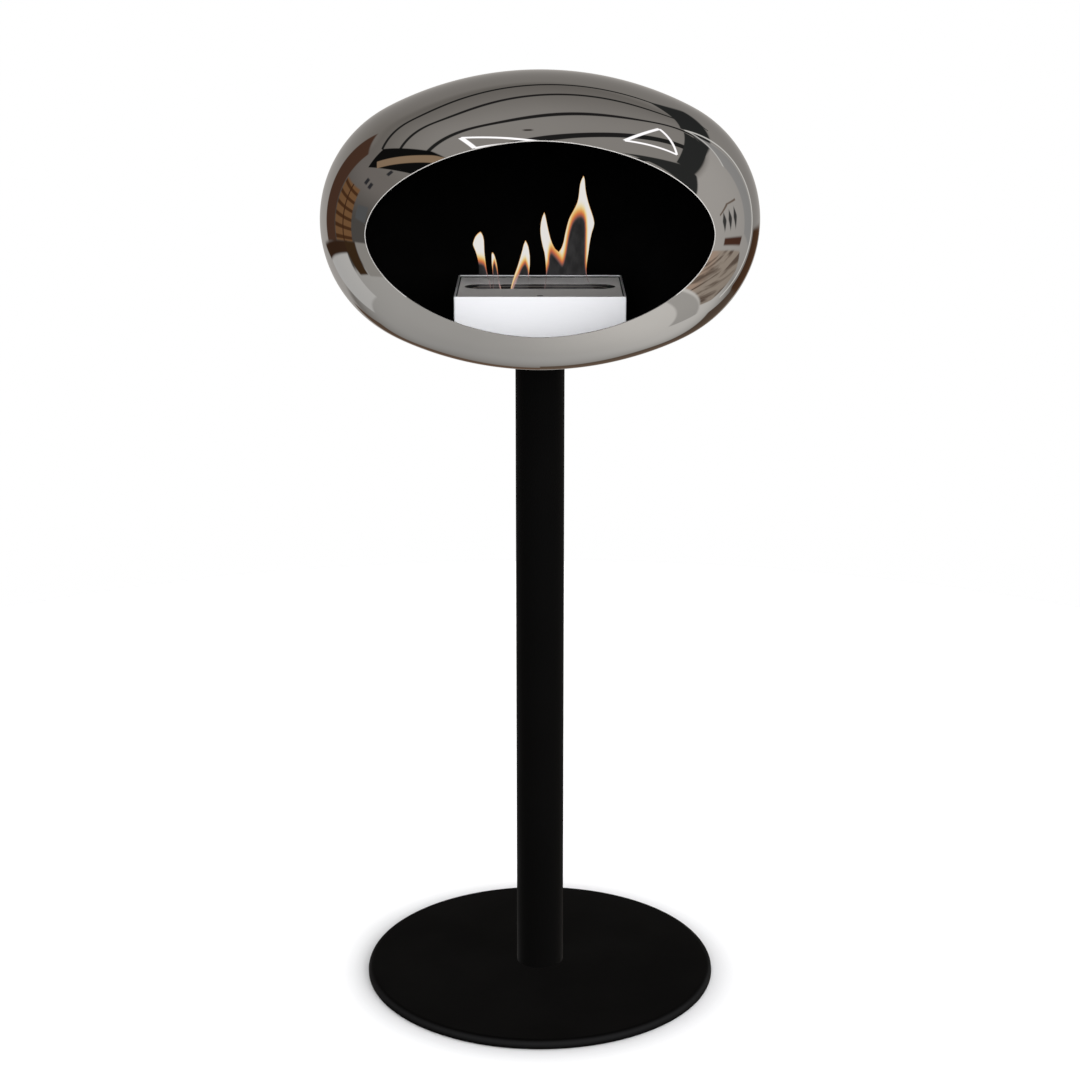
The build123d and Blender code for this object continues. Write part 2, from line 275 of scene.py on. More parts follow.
def dome_profile(inset):
    """Half the dome's outline by the turn of its normal, from straight down to straight up.

    The bend's radius eases from the knuckle's to the crown's at the tangent, the radius out is its
    sum times the sine of the turn and the height its sum times the cosine. Both radii come from
    the dome's half width and half height. The inset moves each point along its normal.
    """
    turn = np.linspace(0, np.pi / 2, 2001)
    crown = smooth_step((turn - tangent + tangent_ease) / (2 * tangent_ease))
    step = turn[1] - turn[0]

    def running_sum(values):
        return np.concatenate(([0], np.cumsum((values[1:] + values[:-1]) / 2))) * step

    parts = [[running_sum(w * f(turn)) for w in (1 - crown, crown)] for f in (np.sin, np.cos)]
    totals = np.array([[part[-1] for part in row] for row in parts])
    knuckle, top = np.linalg.solve(totals, (dome_width / 2, dome_height / 2))
    out = dome_width / 2 - knuckle * parts[0][0] - top * parts[0][1] - inset * np.cos(turn)
    up = knuckle * parts[1][0] + top * parts[1][1] - inset * np.sin(turn)
    out = np.concatenate((out[:0:-1], out))
    up = np.concatenate((-up[:0:-1], up))
    return np.maximum(out, 0), up


def mouth_outline(count):
    """The mouth seen from the front: a superellipse, each half axis times a power of the cosine
    or sine of the share of a turn. The points are spaced evenly along the line."""
    turn = np.linspace(0, 2 * np.pi, 8001)
    power = 2 / mouth_exponent
    across = mouth_width / 2 * np.sign(np.cos(turn)) * np.abs(np.cos(turn)) ** power
    upward = mouth_height / 2 * np.sign(np.sin(turn)) * np.abs(np.sin(turn)) ** power
    length = np.concatenate(([0], np.cumsum(np.hypot(np.diff(across), np.diff(upward)))))
    even = np.linspace(0, length[-1], count, endpoint=False)
    return np.interp(even, length, across), mouth_rise + np.interp(even, length, upward)


def dome_face(inset, count, rows):
    """One face of the shell as rows of points, from the mouth's edge to the back.

    The edge lies where the mouth's outline, carried straight back, meets the face: the depth is
    the root of the face's radius squared less the width squared. Each row then leans further from
    the front by an even share of the angle left, after a first narrow one, and each point is as
    far out in its direction as the profile is at that direction's rise.
    """
    out, up = dome_profile(inset)
    across, upward = mouth_outline(count)
    depth = np.sqrt(np.interp(upward, up, out) ** 2 - across**2)
    lean = np.arctan2(np.hypot(across, upward), depth)
    turn = np.arctan2(upward, across)
    share = np.insert(np.linspace(0, 1, rows - 1), 1, edge_row_share)[:, None]
    angle = lean + (np.pi - lean) * share
    aim = np.stack((np.sin(angle) * np.cos(turn), -np.cos(angle), np.sin(angle) * np.sin(turn)), -1)
    rise = np.arcsin(np.clip(aim[..., 2], -1, 1))
    reach = np.interp(rise, np.arctan2(up, out), np.hypot(out, up))
    points = aim * reach[..., None]
    points[0] = np.stack((across, -depth, upward), -1)
    points[..., 2] += dome_centre
    return points


def add_piece(name, points, faces, materials, shades=None):
    """Make a smooth piece from its points, its faces and the number of each face's finish."""
    mesh = bpy.data.meshes.new(name)
    mesh.from_pydata(points, [], faces)
    for material in materials:
        mesh.materials.append(material)
    if shades is not None:
        mesh.polygons.foreach_set("material_index", shades)
    mesh.polygons.foreach_set("use_smooth", np.ones(len(mesh.polygons), bool))
    mesh.update()
    piece = bpy.data.objects.new(name, mesh)
    bpy.context.scene.collection.objects.link(piece)
    return piece


def closed_skin(rings, ends):
    """The points and faces of a skin: quads between rows of points that each close into a ring,
    and a fan of triangles to one more point at either end."""
    rows, count = rings.shape[:2]
    place = np.arange(rows * count).reshape(rows, count)
    beside = np.roll(place, -1, axis=1)
    quads = np.stack((place[:-1], beside[:-1], beside[1:], place[1:]), -1).reshape(-1, 4)
    first = np.full(count, rows * count)
    near = np.stack((first, beside[0], place[0]), -1)
    far = np.stack((first + 1, place[-1], beside[-1]), -1)
    points = np.concatenate((rings.reshape(-1, 3), ends))
    return points, quads.tolist() + near.tolist() + far.tolist()


def build_dome(count=288, outer_rows=150, inner_rows=70, lip_rows=4, lip_bulge=0.0001):
    """The whole shell: the outer face, the rounded cut edge and the inner face in one closed skin,
    with the number of each face's finish."""
    outer = dome_face(0, count, outer_rows)
    inner = dome_face(dome_wall, count, inner_rows)
    share = np.linspace(0, 1, lip_rows + 2)[1:-1, None, None]
    middle = np.array((0, 0, dome_centre + mouth_rise))
    inward = (middle - outer[0]) * (1, 0, 1)
    inward /= np.linalg.norm(inward, axis=1)[:, None]
    lip = outer[0] + (inner[0] - outer[0]) * share + inward * lip_bulge * np.sin(np.pi * share)
    # Rows run from the back of the outer face over the edge to the back of the inner face.
    rings = np.concatenate((outer[-2::-1], lip, inner[:-1]))
    points, faces = closed_skin(rings, (outer[-1, 0], inner[-1, 0]))
    edge_row = outer_rows - 3
    sides = np.full((len(rings) - 1, count), cut_edge)
    sides[:edge_row] = mirror_side
    sides[edge_row, mouth_outline(count)[1] < edge_row_low] = mirror_side
    sides[edge_row + lip_rows + 2 :] = painted_side
    fans = np.repeat((mirror_side, painted_side), count)
    return points, faces, np.concatenate((sides.ravel(), fans))


mirror = Finish("dark_nickel_mirror")
haze = mirror.noise(14, 4)
smear = mirror.ease(mirror.noise(5, 3, (1, 1, 2.5)), 0.5, 0.8)
mirror_finish = mirror.coat(
    base_color=mirror.blend(haze, (0.335, 0.325, 0.313), (0.365, 0.356, 0.344)),
    metallic=1.0,
    specular_tint=(0.62, 0.62, 0.62),
    roughness=0.012 + 0.03 * smear,
    normal=mirror.relief(mirror.noise(7, 1), 0.00004),
)
bright = Finish("bright_steel_edge")
edge_finish = bright.coat(
    base_color=bright.blend(bright.noise(300, 3), (0.7, 0.69, 0.68), (0.88, 0.87, 0.86)),
    metallic=1.0,
    roughness=0.25 + 0.15 * bright.noise(900, 2),
    normal=bright.relief(bright.noise(2500, 2), 0.00002),
)
stove_paint = Finish("matt_black_stove_paint")
soot = stove_paint.ease(stove_paint.noise(12, 4), 0.35, 0.8)
paint_finish = stove_paint.coat(
    base_color=stove_paint.blend(soot, (0.0022, 0.0022, 0.0022), (0.0042, 0.004, 0.0038)),
    roughness=0.9,
    specular_ior_level=0.04,
    normal=stove_paint.relief(stove_paint.noise(1800, 2), 0.00008),
)
dome_points, dome_faces, dome_shades = build_dome()
dome = add_piece(
    "dome_shell", dome_points, dome_faces, (mirror_finish, edge_finish, paint_finish), dome_shades
)
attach(dome, "stand")
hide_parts("dome_lower_half", "dome_upper_half")
# Its mirror shows the room but not the stand and what the stand holds.
for name in (
    "base_underlay", "base_plate", "base_screws", "pole_bottom_plug", "pole_tube",
    "pole_top_plug", "dome_saddle", "clamp_disc", "dome_screws",
):
    nodes[name].visible_glossy = False

# TRAY
# A folded steel tray with a low lip, powder coated black. It stands on the pillars and holds the
# burner level, out of sight behind the mouth's lower edge.
dress(powder_coat("black_tray", (0.004, 0.004, 0.004), 0.5), "burner_tray")

# BURNER HOUSING
# An open box folded from 2 mm stainless sheet and polished bright outside. A fine grain is left
# from the polishing belt. Its rim is painted grey, and inside below the rim it is painted
# near-black: both painted shade.
housing_half_width = 0.0993
housing_half_depth = 0.0813
housing_shade_line = 0.9008
housing_rim_line = 0.9018
painted_shade_black = (0.012, 0.011, 0.01)
housing = Finish("polished_housing")
belt = housing.noise(1.0, 3, (60, 60, 1500))
wiped = housing.ease(housing.noise(9, 3), 0.4, 0.8)
across, back, up = housing.split(housing.place())
# Painted shade: inside the box, below the rim line, the steel is painted near-black.
painted_shade_inside = (abs(across) < housing_half_width) * (abs(back) < housing_half_depth)
painted_shade_inside = painted_shade_inside * (up < housing_shade_line)
steel = housing.blend(belt, (0.88, 0.89, 0.905), (0.94, 0.945, 0.955))
# Painted shade: the top rim is painted grey.
steel = housing.blend(up > housing_rim_line, steel, (0.34, 0.335, 0.33))
dress(
    housing.coat(
        base_color=housing.blend(painted_shade_inside, steel, painted_shade_black),
        metallic=0.15,
        roughness=0.3 + 0.08 * wiped + 0.05 * belt,
        normal=housing.relief(belt, 0.000012),
    ),
    "burner_housing",
)

# TANK, MESH, LID, RAILS AND DAMPER
# Cut and folded from stainless sheet with a satin grain drawn from side to side. The heat of the
# flames has browned the lid a little round its slot. Painted shade colours the lid's cut edges and
# underside and the rails below it near-black, as it does the damper but for its cut edge, the
# inside of the tank and the mesh away from the slot; the damper's steel is painted dark grey as
# well. The lid's front half is painted a little darker, a painted shade.
slot_line = 0.0065
lid_face = 0.8998
damper_edge = (0.8964, 0.8972)
tank_half_width = 0.0957
tank_half_depth = 0.0737
lit_mesh_half_depth = 0.03


def satin_steel(name, light, dark, tarnish, metallic, painted_shade_where, front_darkening=0.0):
    """Satin sheet: long fine scratches across, lightly cloudy, browned near the flame slot.

    A function says where it is painted near-black as painted shade, from the distances across,
    back and up. The last value is how much darker the front half is painted, a painted shade that
    evens out the light falling more on the front.
    """
    satin = Finish(name)
    scratch = satin.noise(1.0, 4, (40, 2600, 2600))
    cloud = satin.noise(16, 3)
    across, back, up = satin.split(satin.place())
    near = 1 - satin.ease(abs(back - slot_line), 0.016, 0.034)
    browned = near * satin.ease(satin.noise(30, 3), 0.25, 0.7) * tarnish
    steel = satin.blend(scratch * 0.7 + cloud * 0.3, dark, light)
    steel = satin.blend(browned, steel, (0.2, 0.13, 0.075))
    # Painted shade: the front half is coloured darker by this share, to even out the light that
    # falls more on it.
    painted_front_shade = (1 - satin.ease(back, -0.07, 0.05)) * front_darkening
    steel = satin.blend(painted_front_shade, steel, (0.3, 0.285, 0.265))
    return satin.coat(
        # Painted shade: where the function says, the sheet is painted near-black.
        base_color=satin.blend(painted_shade_where(across, back, up), steel, painted_shade_black),
        metallic=metallic,
        roughness=0.34 + 0.1 * scratch + 0.08 * cloud,
        normal=satin.relief(scratch, 0.000015),
    )


dress(
    satin_steel(
        "satin_steel", (0.93, 0.9, 0.865), (0.84, 0.81, 0.78), 0.06, 0.1,
        # Painted shade: the lid's cut edges and underside and the rails below its top face are
        # painted near-black, and the last value darkens the lid's front half.
        lambda across, back, up: up < lid_face, 0.68,
    ),
    "top_plate", "left_rail", "right_rail",
)
dress(
    satin_steel(
        # Painted shade: the damper's steel is painted dark grey, and near-black all but its cut
        # edge.
        "satin_damper", (0.17, 0.168, 0.165), (0.11, 0.108, 0.105), 0.3, 0.2,
        lambda across, back, up: (up < damper_edge[0]) + (up > damper_edge[1]),
    ),
    "damper_plate",
)
dress(
    satin_steel(
        "satin_tank", (0.5, 0.49, 0.48), (0.34, 0.33, 0.32), 0.1, 0.3,
        # Painted shade: the inside of the tank is painted near-black.
        lambda across, back, up: (abs(across) < tank_half_width) * (abs(back) < tank_half_depth),
    ),
    "fuel_tank",
)
dress(
    satin_steel(
        "heated_mesh_with_painted_shade", (0.05, 0.045, 0.04), (0.02, 0.018, 0.015), 0.3, 0.3,
        # Painted shade: the mesh away from the slot is painted near-black; the brown near the slot
        # is heat tint.
        lambda across, back, up: abs(back - slot_line) > lit_mesh_half_depth,
    ),
    "wool_mesh",
)

# CERAMIC WOOL
# A block of white ceramic fibre that soaks up the fuel and burns like a wick. Its fibres lie in
# swirls, and where the flames stand it is stained brown and grey.
wool = Finish("ceramic_wool")
fibre = wool.noise(700, 4, (1, 3, 2))
stain = wool.ease(wool.noise(28, 4), 0.35, 0.7)
dress(
    wool.coat(
        base_color=wool.blend(
            stain, wool.blend(fibre, (0.55, 0.52, 0.46), (0.8, 0.78, 0.73)), (0.16, 0.11, 0.07)
        ),
        roughness=0.95,
        specular_ior_level=0.1,
        normal=wool.relief(fibre, 0.0006),
    ),
    "ceramic_wool",
)

# FLAMES
# Five tongues of burning vapour that stand in the slot. Each is a thin closed skin: cream at its
# rim and tip, then yellow and orange, round a grey see-through core, and violet at its foot. They
# ride with the tank.
flame_foot = 0.884
flame_flatness = 0.45
flame_half_depth = 0.005
rim_warmth = 0.36
rim_warming = 1400

# The left and right edge of each tongue from its foot to its tip, and its dark core all round, as
# places across and heights, and how far the glow's colours reach from the core, in millimetres.
# The last two tongues share a core and join along a seam.
seam = [(27, 884), (27, 897), (26.9, 922.5), (24.6, 932)]
shared_core = [
    (5, 883), (6.3, 897), (7.5, 905), (8.2, 912.6), (10.3, 919.8), (11.8, 925.9), (12, 931.9),
    (12.8, 936.2), (14, 937), (16.6, 934.4), (19.6, 930.8), (22.7, 926.6), (25.3, 923.2),
    (26.9, 922.2), (28.7, 924.7), (30.4, 930.7), (32, 938), (33.3, 946.4), (34.8, 956),
    (36.6, 964.4), (39.2, 972.8), (42, 977.4), (45.3, 980.4), (49.1, 981.4), (51.7, 979.4),
    (53.1, 975), (53.5, 968), (53.4, 958), (53.3, 946), (53.2, 935), (53.3, 927), (54, 919.8),
    (55.3, 912.6), (57.7, 905.3), (64, 898), (72, 884),
]
flames = {
    "flame_1": (
        [(-74.6, 884), (-74.1, 897.2), (-73.7, 913.8), (-73.5, 919), (-73.7, 924.2), (-74.1, 928.4),
         (-75, 933.2), (-76.2, 938), (-77.6, 942.3), (-79.3, 946.5), (-80.6, 949.8), (-80.5, 952.8),
         (-79.2, 956.9), (-77.5, 960.7), (-74.8, 963.9), (-71.8, 966.1)],
        [(-59.3, 884), (-59.4, 897.2), (-59.8, 902.5), (-61.1, 906.8), (-62.8, 912.1), (-64.3, 919),
         (-65.2, 925.9), (-65.9, 931.9), (-66.6, 938), (-67, 944), (-67.2, 950), (-67.4, 956),
         (-68.5, 961.2), (-70.1, 964.7), (-71.6, 966.1)],
        [(-82, 883), (-79, 925), (-75, 926), (-70.2, 924.6), (-67.6, 923), (-66.1, 919),
         (-64.5, 913.8), (-62.2, 907.7), (-60, 897.2), (-59.8, 884)],
        3.6,
    ),
    "flame_2": (
        [(-56.8, 884), (-56.8, 897.2), (-56.7, 912.1), (-57.1, 917.3), (-57.6, 922.4),
         (-58.1, 927.6), (-58.3, 933.6), (-58.3, 938.8), (-57.5, 941.4)],
        [(-45.5, 884), (-47, 897.7), (-49.4, 905.1), (-50.2, 912.1), (-50.9, 917.3), (-51.4, 922.4),
         (-52.2, 927.6), (-53.1, 931.9), (-54.3, 936.3), (-55.7, 939.8), (-57.2, 941.4)],
        [(-56.3, 883), (-56.3, 897.2), (-56.2, 912.1), (-56.3, 919), (-56, 923.6), (-55, 926.6),
         (-53.8, 923), (-52.4, 918.1), (-51, 912.1), (-49.9, 903), (-46, 884)],
        2.2,
    ),
    "flame_3": (
        [(-39.5, 884), (-35.4, 897.7), (-33.9, 904.2), (-32.1, 910.2), (-29.6, 917.3),
         (-27.4, 923.3), (-25.2, 930.2), (-23.2, 937.1), (-21.3, 944), (-19.6, 950.8),
         (-17.6, 955.6)],
        [(-14, 884), (-13.8, 897.2), (-13.6, 910.2), (-13.4, 915.5), (-12.8, 920.7), (-12.3, 925.9),
         (-12.2, 931.1), (-12.3, 937.1), (-13, 942.3), (-14, 948.3), (-15.7, 952.8),
         (-17.4, 955.6)],
        [(-36, 883), (-31.4, 897.7), (-28.4, 905.1), (-26, 910.2), (-23.6, 916.3), (-21.4, 920.7),
         (-19.6, 923.4), (-17.8, 925), (-16.4, 922), (-15.2, 918), (-14.4, 912), (-13.9, 906),
         (-13.5, 884)],
        3.2,
    ),
    "flame_4": (
        [(4, 884), (5.4, 897.4), (6.6, 905.3), (7.4, 911.3), (7.4, 918.6), (7, 925.9), (6.4, 933.1),
         (5.4, 940.4), (3.4, 947.6), (1.6, 956), (0.6, 963.2), (0.4, 970.4), (1.2, 977.6),
         (2.8, 984.2), (5, 989.2)],
        [(22.8, 942.4), (20.8, 943), (17.8, 945.8), (14.8, 951.8), (12.4, 958.4), (10.6, 965.6),
         (9, 972.8), (7.6, 980), (6.3, 986), (5.2, 989.2)],
        shared_core,
        4.8,
    ),
    "flame_5": (
        [(22.4, 942.4), (24.8, 944.6), (26.8, 948.8), (28.6, 954.8), (29.8, 961.4), (31.2, 968),
         (32.7, 974), (34.3, 980), (36.3, 984.8), (39.3, 990.1), (42.2, 995.5), (44.6, 1000.9),
         (45.9, 1006.2), (46.7, 1012.2), (47.2, 1018.1), (48.1, 1024), (49.8, 1029),
         (51.8, 1032.6)],
        [(76, 884), (65.6, 897.4), (62.6, 899.8), (59, 905.3), (56.5, 912.6), (55.8, 919.8),
         (56.3, 927.1), (57.3, 934.3), (58.4, 941.6), (59.3, 950), (60.8, 958.4), (62.4, 965.6),
         (64.3, 971), (65.2, 976.4), (63.9, 983), (61.8, 989.5), (59.6, 995.5), (57.4, 1002.6),
         (55.6, 1009.8), (54.3, 1016.9), (53.7, 1024), (53.1, 1029.9), (52, 1032.6)],
        shared_core,
        4.8,
    ),
}


def edge_at(heights, edge):
    """An edge's place across at each height, with corners rounded by averaging neighbours."""
    places, marks = np.array(edge).T / 1000
    track = np.interp(heights, marks, places)
    for _ in range(4):
        track[1:-1] = (track[:-2] + 2 * track[1:-1] + track[2:]) / 4
    return track


def distance_to(x, z, line):
    """How far points are from a line of straight sides, with heights counted as a fifth.

    On each side the nearest point lies at the share that the point's offset, times the side and
    over the side's square, gives when held in 0 to 1. The least over the sides counts.
    """
    line = np.array(line) / (1000, 5000)
    start, side = line[:-1], np.diff(line, axis=0)
    offset = np.stack((x, z / 5), -1)[..., None, :] - start
    share = np.clip((offset * side).sum(-1) / (side**2).sum(-1), 0, 1)
    return np.linalg.norm(offset - share[..., None] * side, axis=-1).min(-1)


def encloses(line, x, z):
    """Whether a closed line goes round a point: a level line from it crosses an odd number."""
    start = np.array(line) / 1000
    end = np.roll(start, -1, axis=0)
    spans = (start[:, 1] > z[..., None]) != (end[:, 1] > z[..., None])
    slope = (end[:, 0] - start[:, 0]) / (end[:, 1] - start[:, 1])
    crossing = start[:, 0] + (z[..., None] - start[:, 1]) * slope
    return (spans & (x[..., None] < crossing)).sum(-1) % 2 == 1


def build_flame(left_edge, right_edge, core, reach, rim, rows=136, count=72):
    """A tongue's rings, each point's warmth and its height over the foot. At each height the ring
    is a flat ellipse between the two edges.

    Warmth is 0 in the core and grows to 1 at the reach from it in millimetres, but it is held to
    rim_warmth at the rim and to rim_warming more for each metre in from there.
    """
    share = np.linspace(0, 1, rows)
    heights = flame_foot + (left_edge[-1][1] / 1000 - flame_foot) * share
    left, right = edge_at(heights, left_edge), edge_at(heights, right_edge)
    half = (right - left) / 2
    turn = np.linspace(0, 2 * np.pi, count, endpoint=False)
    x = (left + right)[:, None] / 2 + half[:, None] * np.cos(turn)
    half_depth = np.minimum(flame_flatness * half, flame_half_depth)
    y = slot_line + half_depth[:, None] * np.sin(turn)
    z = np.broadcast_to(heights[:, None], x.shape)
    outside = np.where(encloses(core, x, z), 0, distance_to(x, z, core)) * 1000 / reach
    warmth = np.minimum(outside, rim_warmth + rim_warming * distance_to(x, z, rim))
    return np.stack((x, y, z), -1), warmth, z - flame_foot


fire = Finish("flame")
warmth = fire.node("ShaderNodeAttribute", {"attribute_name": "warmth"}, output="Fac")
rise = fire.node("ShaderNodeAttribute", {"attribute_name": "rise"}, output="Fac")
wisp = fire.ease(fire.noise(70, 3, (1.6, 1, 0.7)), 0.35, 0.65)
glow = fire.node(
    "ShaderNodeValToRGB",
    {"stops": [
        (0.0, (0.3, 0.29, 0.295)),
        (0.05, (0.13, 0.1, 0.1)),
        (0.11, (0.12, 0.07, 0.065)),
        (0.21, (0.28, 0.095, 0.066)),
        (0.26, (0.45, 0.12, 0.062)),
        (0.32, (0.56, 0.16, 0.062)),
        (0.42, (0.68, 0.29, 0.08)),
        (0.53, (0.74, 0.47, 0.165)),
        (0.63, (0.765, 0.6, 0.31)),
        (0.74, (0.768, 0.68, 0.49)),
        (0.84, (0.768, 0.715, 0.62)),
        (1.0, (0.766, 0.742, 0.71)),
    ]},
    {0: warmth},
)
low = (1 - fire.ease(rise, 0.022, 0.037)) * fire.ease(warmth, 0, 0.05)
low = low * (1 - fire.ease(warmth, 0.3, 0.6))
foot_fade = fire.ease(rise, 0.004, 0.014)
veil = 0.03 + 0.03 * wisp
shown = fire.ease(warmth, 0.0, 0.2)
flame_finish = fire.coat(
    base_color=(0, 0, 0),
    roughness=1.0,
    specular_ior_level=0.0,
    emission_color=fire.blend(low, glow, (0.47, 0.3, 0.29)),
    emission_strength=1.0,
    alpha=veil * foot_fade + shown * (1 - veil) * (1 - 0.45 * low),
)
rims = {name: left + right[::-1] for name, (left, right, *_) in flames.items()}
for name, (left_edge, right_edge, core, reach) in flames.items():
    rim = rims[name]
    if core is shared_core:
        rim = rims["flame_4"] + rims["flame_5"]
    if name == "flame_4":
        right_edge = seam + right_edge
    if name == "flame_5":
        left_edge = seam + left_edge
    rings, warm, lift = build_flame(left_edge, right_edge, core, reach, rim)
    points, faces = closed_skin(rings, rings[[0, -1]].mean(1))
    flame = add_piece(name, points, faces, (flame_finish,))
    for key, field in (("warmth", warm), ("rise", lift)):
        values = np.concatenate((field.ravel(), field[[0, -1]].mean(1)))
        flame.data.attributes.new(key, "FLOAT", "POINT").data.foreach_set("value", values)
    flame.visible_diffuse = flame.visible_glossy = False
    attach(flame, "tank")
    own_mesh(flame)

# FLOOR
# A plain white studio floor that takes the stand's soft shadow. It is short of white by its light
# alone, and what is missing is added for the camera, but less close to the base. That adds a
# painted shadow in a ring round the base, on top of its real shadow. Metal shows the room's floor
# in its place.
floor_reach = 1.9
floor_corners = 96
painted_shadow_ring = (0.205, 0.29)
missing_light = 0.42
floor_turn = np.linspace(0, 2 * np.pi, floor_corners, endpoint=False)
floor_rim = np.stack((np.cos(floor_turn), np.sin(floor_turn), 0 * floor_turn), -1) * floor_reach
floor_paint = Finish("white_floor")
seen = floor_paint.node("ShaderNodeLightPath", output="Is Camera Ray")
matt = floor_paint.node("ShaderNodeBsdfDiffuse", None, {"Color": (0.8, 0.8, 0.8)})
# Painted shadow: the lift fades out towards the base, so a ring round it is darker.
missing = seen * floor_paint.ease(floor_paint.radius(), *painted_shadow_ring) * missing_light
lift_color = floor_paint.blend(missing, (0, 0, 0), (1, 1, 1))
lift_light = floor_paint.node("ShaderNodeEmission", None, {"Color": lift_color, "Strength": 1.0})
floor_sum = floor_paint.node("ShaderNodeAddShader", None, {0: matt, 1: lift_light})
floor_paint.node("ShaderNodeOutputMaterial", None, {"Surface": floor_sum})
floor = add_piece("floor", floor_rim, [list(range(floor_corners))], (floor_paint.material,))
floor.visible_glossy = floor.visible_transmission = False

# STUDIO
# Soft light from all round, strongest from a wide panel in front on the right, and white behind
# the object. Polished metal shows the room instead: a grey ceiling with dark joists and two lamps
# bent into triangles, dark beams along both sides, pale walls, a pale floor and some furniture.
world = bpy.data.worlds.new("studio")
world.use_nodes = True
bpy.context.scene.world = world
studio = Finish("studio", world.node_tree)
blend, ease = studio.blend, studio.ease
aim_x, aim_y, aim_z = studio.split(studio.node("ShaderNodeTexCoord", output="Generated"))
drop = 0 - aim_z
least_rise = 0.02
upward_part = aim_z.math("MAXIMUM", aim_z, least_rise)
downward_part = drop.math("MAXIMUM", drop, least_rise)
ceiling_x = aim_x / upward_part
ceiling_y = aim_y / upward_part
boards_x = aim_x / downward_part
boards_y = aim_y / downward_part
degrees = 180 / np.pi
bearing = aim_x.math("ARCTAN2", aim_x, 0 - aim_y) * degrees
elevation = aim_z.math("ARCSINE", aim_z) * degrees
overhead = aim_z > 0.05


def within(across, upward, corners, soft):
    """1 inside a convex outline with its corners anticlockwise: the product, over its sides, of a
    smooth step of the distance from the side."""
    share = 1.0
    for (ax, ay), (bx, by) in zip(corners, corners[1:] + corners[:1]):
        dx, dy = np.array((bx - ax, by - ay)) / np.hypot(bx - ax, by - ay)
        start = dx * ay - dy * ax
        share = share * ease(upward * dx - across * dy, start - soft, start + soft)
    return share


def between(value, low, high, soft):
    """1 where a value lies between two limits, with a smooth step at both."""
    return ease(value, low - soft, low + soft) * (1 - ease(value, high - soft, high + soft))


def on_wall(corners, color, soft=0.7):
    """Lay a shape over the room's walls. Its corners are bearings from the front and rises, in
    degrees."""
    return blend(within(bearing, elevation, corners, soft), room, color)


def on_ceiling(corners, color, soft=0.012):
    """Lay a shape over the room's ceiling. Its corners count in ceiling heights from the point
    above."""
    return blend(within(ceiling_x, ceiling_y, corners, soft) * overhead, room, color)


# Ceiling, walls and floor
right_side = ease(bearing, 60, 100)
front = 1 - ease(abs(bearing), 60, 90)
wall = blend(ease(elevation, 0, 24), (0.17, 0.16, 0.15), (0.38, 0.35, 0.33))
rear = blend(ease(elevation, -10, 30), (0.95, 0.91, 0.87), (0.46, 0.43, 0.4))
wall = blend(ease(abs(bearing), 134, 142), wall, rear)
wall = blend(right_side, wall, (0.66, 0.63, 0.6))
wall = blend(right_side * (1 - ease(bearing, 142, 144)), wall, (0.89, 0.86, 0.83))
wall = blend(ease(abs(bearing), 148, 174), wall, (0.55, 0.52, 0.49))
wall = blend(front, wall, (0.9, 0.88, 0.86))
room = blend(ease(elevation, 24, 62), (0.37, 0.345, 0.32), (0.6, 0.575, 0.55))
right_ceiling = right_side * (1 - ease(bearing, 140, 178))
room = blend(right_ceiling * ease(elevation, 20, 40), room, (0.58, 0.555, 0.53))
room = blend(1 - ease(elevation, 26, 31), room, wall)
boards = blend(ease(boards_x, -0.35, 0.6), (0.86, 0.85, 0.83), (1.36, 1.34, 1.3))
boards = blend(ease(boards_y, 1.0, 2.3), boards, (0.4, 0.37, 0.34))
room = blend(1 - ease(elevation, -24, -20), room, boards)
room = on_wall([(-181, -24), (-160, -27), (-160, -20), (-181, -15)], (0.2, 0.13, 0.09))

# Joists, side beams and the wooden strip under the left one
joist_slant = 0.6
joist_reach = 1.2
joist_run = ceiling_y - joist_slant * ceiling_x
joist_ends = (ceiling_x > -joist_reach) * (ceiling_x < joist_reach) * overhead
for line, width in ((1.7, 0.09), (1.18, 0.065), (0.67, 0.065), (0.11, 0.12), (-0.45, 0.07)):
    joist = between(joist_run, line - width / 2, line + width / 2, 0.01)
    room = blend(joist * joist_ends, room, (0.035, 0.035, 0.035))
beam_black = (0.012, 0.012, 0.012)
beam_grey = (0.055, 0.058, 0.058)
left_beam = [(-1.1, -0.3), (-0.6, -0.3), (-0.72, 0.2), (-1.17, 0.95), (-1.82, 1.12)]
wooden_strip = [(-0.75, -0.1), (-0.62, -0.1), (-0.74, 0.1), (-1.5, 0.88), (-1.66, 0.77)]
room = on_ceiling(left_beam, beam_black)
room = on_ceiling(wooden_strip, (0.6, 0.42, 0.27))
room = on_ceiling([(1.13, 0.3), (1.65, 0.43), (1.35, 1.33), (0.84, 1.13)], beam_grey)
room = on_ceiling([(0.78, 1.2), (1.17, 1.57), (1.1, 2.1), (0.83, 2.75), (0.5, 2.0)], beam_grey)
room = on_wall([(91, 62), (91, 22), (95, 20.5), (105, 28.7), (105, 38.7)], beam_grey)
room = on_wall([(104, 30), (128, 29.2), (142.5, 32), (120, 38), (104, 38.7)], beam_grey)
room = on_wall([(128, 29.2), (147.5, 23), (164.5, 18.7), (165, 25.5), (142.5, 32)], beam_grey)

